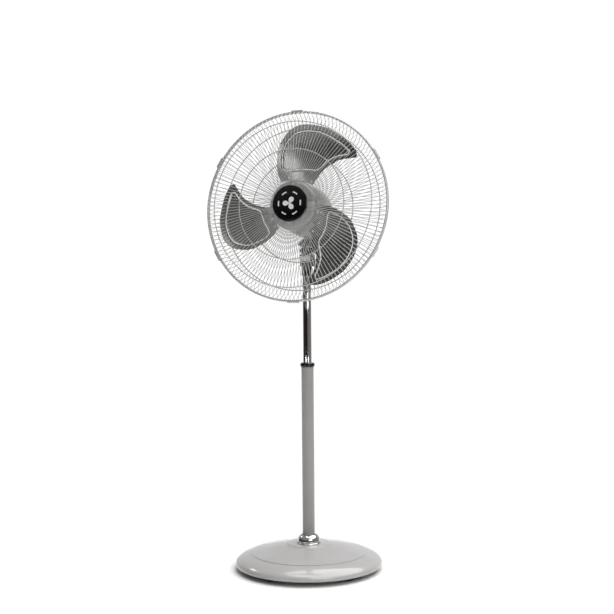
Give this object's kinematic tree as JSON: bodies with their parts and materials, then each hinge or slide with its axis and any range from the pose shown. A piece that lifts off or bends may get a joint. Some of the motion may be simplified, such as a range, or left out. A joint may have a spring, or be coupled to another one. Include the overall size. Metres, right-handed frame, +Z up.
{
  "type": "pedestal fan",
  "caption": "Floor-standing fan on a domed round base with a telescoping post, tilting and oscillating caged head and stamped metal blades.",
  "frame": {"origin": "on the floor, on the axis of the post, at the centre of the round base", "axes": "+Z up along the post; the fan faces -Y with its oscillation centred; +X to the right of someone looking along +Y"},
  "size_m": [0.562, 0.441, 1.3625],
  "materials": {
    "grey_paint": "gloss enamel",
    "wire_paint": "satin enamel on welded wire",
    "blade_silver": "silver-grey lacquer",
    "cast_housing": "grey enamel",
    "chrome": "polished",
    "steel": "zinc plated",
    "counterweight_iron": "raw casting",
    "black_gloss": "glossy",
    "black_plastic": "fine texture",
    "white_plastic": "glossy",
    "nylon": "natural",
    "rubber": "matt",
    "copper": "enamelled windings",
    "lamination": "stacked sheet",
    "brass": "machined"
  },
  "bodies": {
    "stand": {"base_cover": "grey_paint", "base_plate": "steel", "counterweight": "counterweight_iron", "foot_1": "rubber", "foot_2": "rubber", "foot_3": "rubber", "foot_4": "rubber", "post_cap": "chrome", "lower_post": "grey_paint", "clamp_bolt": "steel", "grip_bush": "nylon"},
    "collar": {"height_collar": "black_gloss"},
    "mast": {"upper_post": "chrome", "guide_bush": "nylon", "neck_sleeve": "black_plastic", "control_housing": "black_plastic", "housing_lid": "black_plastic", "cord_gland": "black_plastic", "switch_block": "nylon"},
    "key_0": {"speed_key_0": "white_plastic"},
    "key_1": {"speed_key_1": "white_plastic"},
    "key_2": {"speed_key_2": "white_plastic"},
    "key_3": {"speed_key_3": "white_plastic"},
    "tilt_bracket": {"swivel_bracket": "black_plastic", "tilt_bolt": "steel", "thrust_washer": "nylon"},
    "tilt_handle": {"tilt_knob": "black_plastic"},
    "head": {"motor_front_shell": "cast_housing", "swivel_pin": "steel", "motor_rear_shell": "cast_housing", "stator_core": "lamination", "stator_winding_front": "copper", "stator_winding_rear": "copper", "front_bearing": "steel", "rear_bearing": "steel", "gearbox_case": "black_plastic", "gearbox_cover": "black_plastic", "run_capacitor": "black_plastic", "rear_guard": "wire_paint", "guard_ring_nut": "black_plastic", "front_guard": "wire_paint", "front_badge": "black_gloss"},
    "clip_1": {"rim_clip_1": "wire_paint"},
    "clip_2": {"rim_clip_2": "wire_paint"},
    "clip_3": {"rim_clip_3": "wire_paint"},
    "clip_4": {"rim_clip_4": "wire_paint"},
    "clip_5": {"rim_clip_5": "wire_paint"},
    "clip_6": {"rim_clip_6": "wire_paint"},
    "rotor": {"motor_shaft": "steel", "rotor_core": "lamination", "drive_worm": "nylon", "blade_spider": "blade_silver", "blade_1": "blade_silver", "blade_2": "blade_silver", "blade_3": "blade_silver", "hub_dome": "blade_silver"},
    "worm_gear": {"worm_wheel": "nylon"},
    "clutch": {"oscillation_knob": "black_plastic"},
    "crank": {"crank_gear": "brass"},
    "link": {"crank_link": "steel"}
  },
  "joints": [
    {"name": "collar_turn", "type": "hinge", "parent": "stand", "child": "collar", "pos_m": [0, 0, 0.6095], "axis": [0, 0, 1], "range_deg": [0, 270]},
    {"name": "height_slide", "type": "slide", "parent": "stand", "child": "mast", "axis": [0, 0, 1], "range_m": [-0.255, 0.12]},
    {"name": "speed_key_0_press", "type": "slide", "parent": "mast", "child": "key_0", "axis": [0, 1, 0], "range_m": [0, 0.003], "stiffness_N_per_m": 250},
    {"name": "speed_key_1_press", "type": "slide", "parent": "mast", "child": "key_1", "axis": [0, 1, 0], "range_m": [0, 0.003], "stiffness_N_per_m": 250},
    {"name": "speed_key_2_press", "type": "slide", "parent": "mast", "child": "key_2", "axis": [0, 1, 0], "range_m": [0, 0.003], "stiffness_N_per_m": 250},
    {"name": "speed_key_3_press", "type": "slide", "parent": "mast", "child": "key_3", "axis": [0, 1, 0], "range_m": [0, 0.003], "stiffness_N_per_m": 250},
    {"name": "head_tilt", "type": "hinge", "parent": "mast", "child": "tilt_bracket", "pos_m": [0, 0.012, 0.952], "axis": [-1, 0, 0], "range_deg": [-15, 20]},
    {"name": "tilt_knob_turn", "type": "hinge", "parent": "tilt_bracket", "child": "tilt_handle", "pos_m": [0.0275, 0.012, 0.952], "axis": [1, 0, 0], "range_deg": [0, 360]},
    {"name": "oscillation", "type": "hinge", "parent": "tilt_bracket", "child": "head", "pos_m": [0, 0.00191, 0.98652], "axis": [0, 0.0872, 0.9962], "range_deg": [-45, 45]},
    {"name": "blade_spin", "type": "hinge", "parent": "head", "child": "rotor", "pos_m": [0, -0.02092, 1.06983], "axis": [0, -0.9962, 0.0872], "continuous": true},
    {"name": "worm_wheel_turn", "type": "hinge", "parent": "head", "child": "worm_gear", "pos_m": [0.0223, 0.06675, 1.06216], "axis": [0, 0.0872, 0.9962], "continuous": true},
    {"name": "crank_turn", "type": "hinge", "parent": "head", "child": "crank", "pos_m": [0.0042, 0.06152, 1.00239], "axis": [0, 0.0872, 0.9962], "range_deg": [-90, 90]},
    {"name": "clutch_pull", "type": "slide", "parent": "head", "child": "clutch", "axis": [0, 0.0872, 0.9962], "range_m": [0, 0.006]},
    {"name": "link_swing", "type": "hinge", "parent": "crank", "child": "link", "pos_m": [0.0182, 0.05986, 0.98346], "axis": [0, 0.0872, 0.9962], "range_deg": [-90, 90]},
    {"name": "clip_1_open", "type": "hinge", "parent": "head", "child": "clip_1", "pos_m": [0.24078, -0.07824, 1.21439], "axis": [-0.5, 0.0755, 0.8627], "range_deg": [0, 75]},
    {"name": "clip_2_open", "type": "hinge", "parent": "head", "child": "clip_2", "pos_m": [0, -0.06612, 1.35288], "axis": [-1, 0, 0], "range_deg": [0, 75]},
    {"name": "clip_3_open", "type": "hinge", "parent": "head", "child": "clip_3", "pos_m": [-0.24078, -0.07824, 1.21439], "axis": [-0.5, -0.0755, -0.8627], "range_deg": [0, 75]},
    {"name": "clip_4_open", "type": "hinge", "parent": "head", "child": "clip_4", "pos_m": [-0.24078, -0.10247, 0.93742], "axis": [0.5, -0.0755, -0.8627], "range_deg": [0, 75]},
    {"name": "clip_5_open", "type": "hinge", "parent": "head", "child": "clip_5", "pos_m": [0, -0.11459, 0.79893], "axis": [1, 0, 0], "range_deg": [0, 75]},
    {"name": "clip_6_open", "type": "hinge", "parent": "head", "child": "clip_6", "pos_m": [0.24078, -0.10247, 0.93742], "axis": [0.5, 0.0755, 0.8627], "range_deg": [0, 75]}
  ],
  "couplings": [
    {"joint": "worm_wheel_turn", "follows": "blade_spin", "ratio": -0.05},
    {"joint": "crank_turn", "follows": "oscillation", "ratio": -2},
    {"joint": "link_swing", "follows": "oscillation", "ratio": 2}
  ]
}
